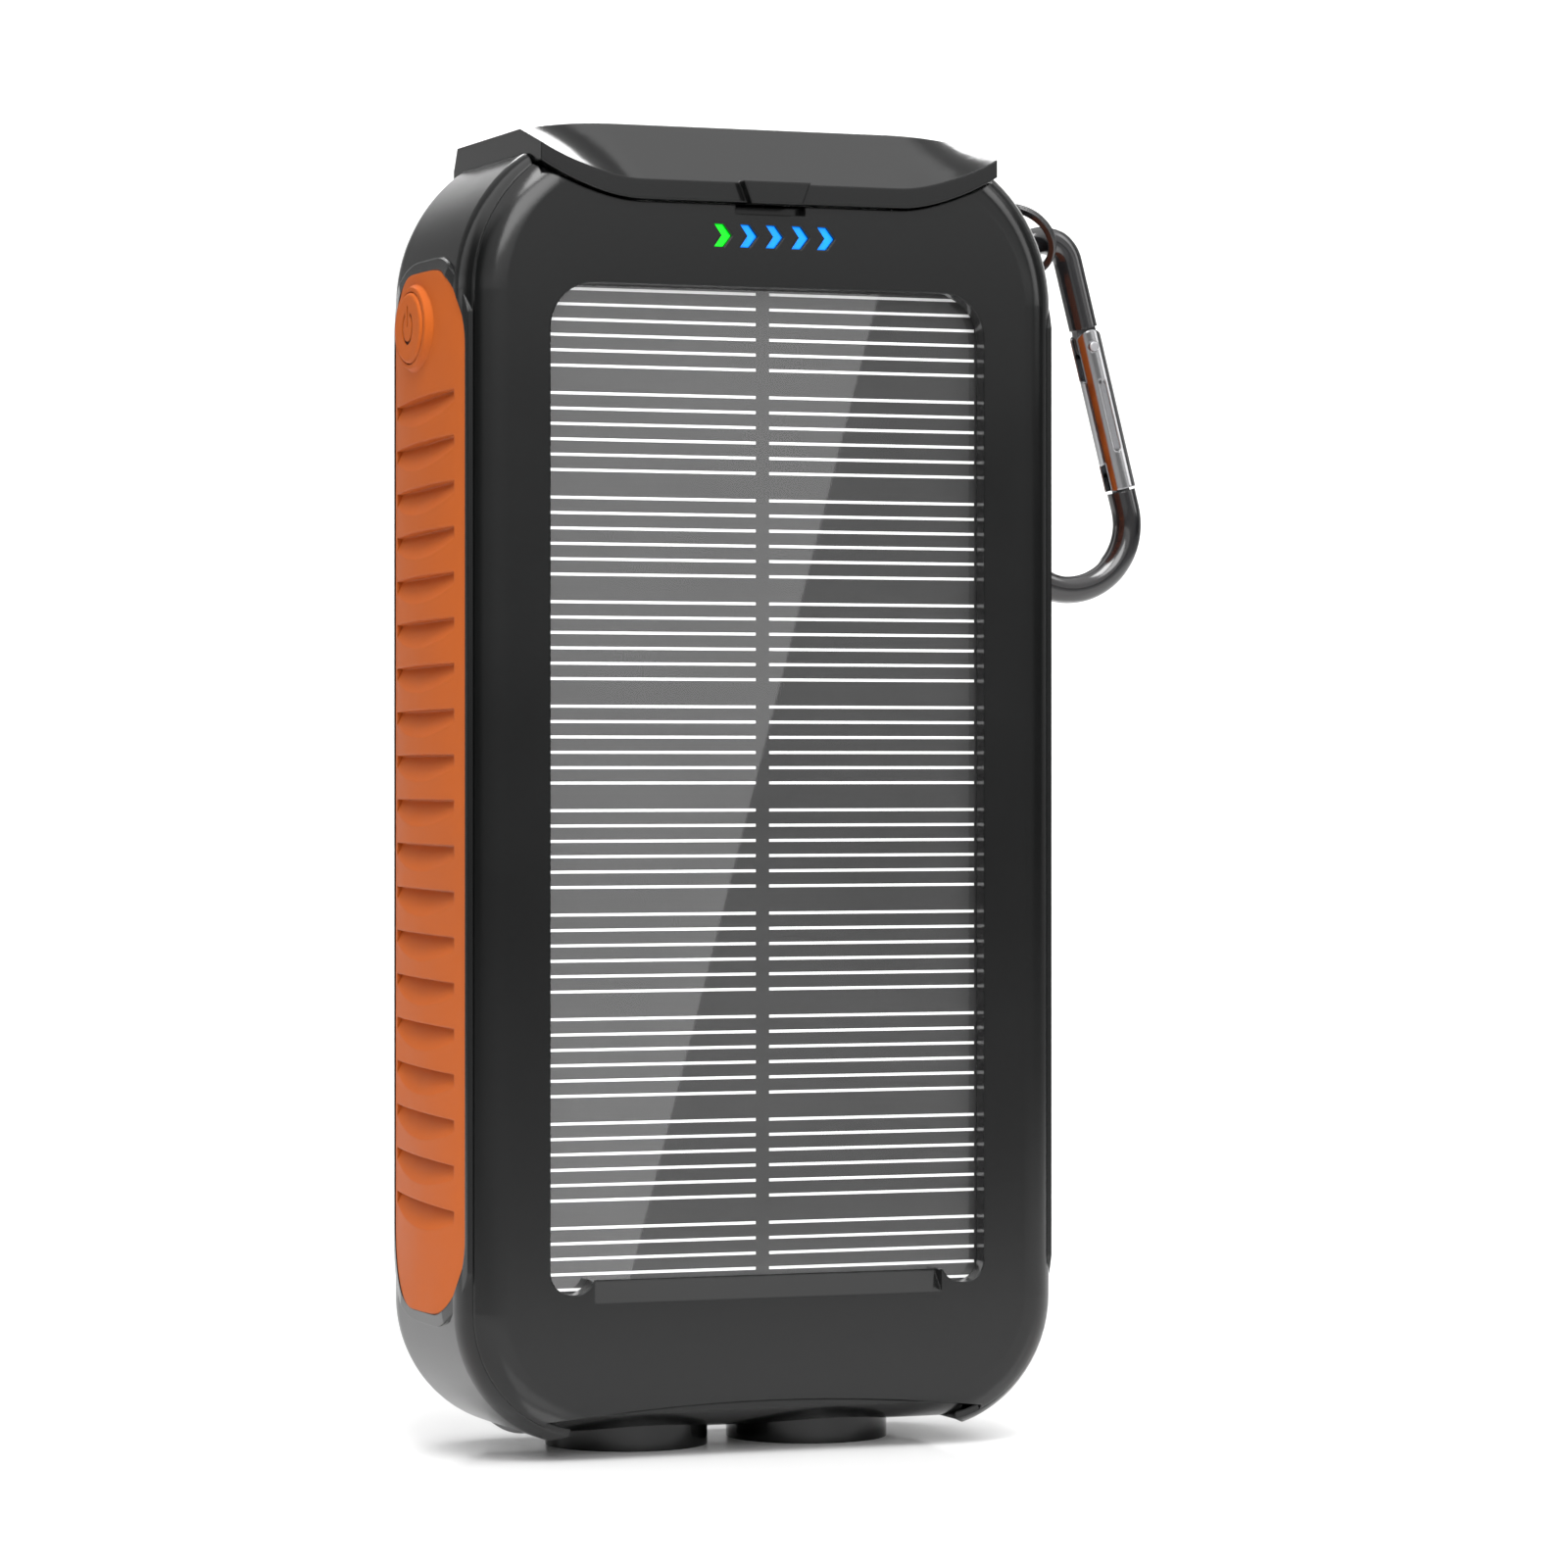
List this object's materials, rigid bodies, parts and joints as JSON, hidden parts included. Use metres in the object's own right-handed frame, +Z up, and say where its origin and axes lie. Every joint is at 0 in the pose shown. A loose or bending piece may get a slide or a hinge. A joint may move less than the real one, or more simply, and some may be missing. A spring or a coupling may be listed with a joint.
{
  "type": "solar power bank",
  "caption": "Solar phone charger with a hinged port lid, sun panel, charge lights, rubber side grips, torch lamps and a carabiner on a ring.",
  "frame": {"origin": "centre of the flat back face, on the case's middle plane and 80 mm above the lamp rims", "axes": "+X to the right seen from the solar side, +Y out of the back, +Z up towards the port lid"},
  "size_m": [0.0985, 0.0353, 0.157],
  "materials": {
    "case_black": "glossy black moulded plastic",
    "panel_black": "matte black plastic",
    "seal_rubber": "matte black rubber",
    "grip_orange": "satin orange soft-touch rubber",
    "steel": "bright steel",
    "clear_resin": "clear glossy resin",
    "cell_grey": "dark grey silicon with fine grain",
    "grid_white": "printed silver-white lines",
    "board_green": "green circuit board",
    "indicator_green_glow": "lit green light guide",
    "indicator_blue_glow": "lit blue light guide",
    "led_white": "yellow-white emitter",
    "tongue_black": "black contact carrier",
    "chip_black": "dark moulded components",
    "pouch_foil": "matt laminate foil",
    "lamp_chrome": "mirror chrome",
    "lamp_clear": "clear lens",
    "clip_black": "glossy black coating",
    "gate_chrome": "polished metal"
  },
  "bodies": {
    "root": {"front_frame": "case_black", "rear_shell": "case_black", "case_seal": "seal_rubber", "case_screws": "steel", "screw_plugs": "case_black", "solar_cover": "clear_resin", "solar_cells": "cell_grey", "cell_grid_lines": "grid_white", "solar_backing": "board_green", "indicator_green": "indicator_green_glow", "indicator_blue": "indicator_blue_glow", "indicator_leds": "led_white", "main_board": "board_green", "board_screws": "steel", "usb_a_left_shell": "steel", "usb_a_left_tongue": "tongue_black", "usb_a_right_shell": "steel", "usb_a_right_tongue": "tongue_black", "usb_c_shell": "steel", "usb_c_tongue": "tongue_black", "inductor": "chip_black", "capacitors": "chip_black", "controller_chips": "chip_black", "button_board": "board_green", "button_switch": "panel_black", "battery_front": "pouch_foil", "battery_back": "pouch_foil", "battery_tape": "panel_black", "battery_foam": "seal_rubber", "port_panel": "panel_black", "lid_hinge_pin": "steel", "lamp_panel": "case_black", "lamp_barrel_left": "case_black", "lamp_barrel_right": "case_black", "lamp_bezel_left": "lamp_chrome", "lamp_bezel_right": "lamp_chrome", "lamp_lens_left": "lamp_clear", "lamp_lens_right": "lamp_clear", "lamp_reflector_left": "lamp_chrome", "lamp_reflector_right": "lamp_chrome", "lamp_leds": "led_white", "lamp_board": "board_green", "grip_left": "grip_orange", "grip_right": "grip_orange", "lanyard_bar": "steel"},
    "lid": {"port_lid": "case_black", "port_seal": "seal_rubber"},
    "button": {"power_button": "grip_orange"},
    "plunger": {"switch_plunger": "panel_black"},
    "ring": {"split_ring": "clip_black"},
    "carabiner": {"carabiner_frame": "clip_black", "gate_pin": "steel"},
    "gate": {"carabiner_gate": "gate_chrome"}
  },
  "joints": [
    {"name": "lid_hinge", "type": "hinge", "parent": "root", "child": "lid", "pos_m": [0, -0.0033, 0.0698], "axis": [-1, 0, 0], "range_deg": [0, 90]},
    {"name": "button_press", "type": "slide", "parent": "root", "child": "button", "axis": [1, 0, 0], "range_m": [0, 0.0004], "stiffness_N_per_m": 300, "springref_m": -0.0006},
    {"name": "plunger_press", "type": "slide", "parent": "root", "child": "plunger", "axis": [1, 0, 0], "range_m": [0, 0.0004]},
    {"name": "ring_swing", "type": "hinge", "parent": "root", "child": "ring", "pos_m": [0.03945, -0.0085, 0.0687], "axis": [0, -1, 0], "range_deg": [0, 45]},
    {"name": "carabiner_swing", "type": "hinge", "parent": "ring", "child": "carabiner", "pos_m": [0.0459, -0.0085, 0.0633], "axis": [0, -1, 0], "range_deg": [0, 60]},
    {"name": "gate_swing", "type": "hinge", "parent": "carabiner", "child": "gate", "pos_m": [0.05201, -0.0085, 0.05357], "axis": [0, 1, 0], "range_deg": [0, 25], "stiffness_Nm_per_rad": 0.02, "springref_deg": -11.46}
  ],
  "couplings": [
    {"joint": "plunger_press", "follows": "button_press", "ratio": 1}
  ]
}
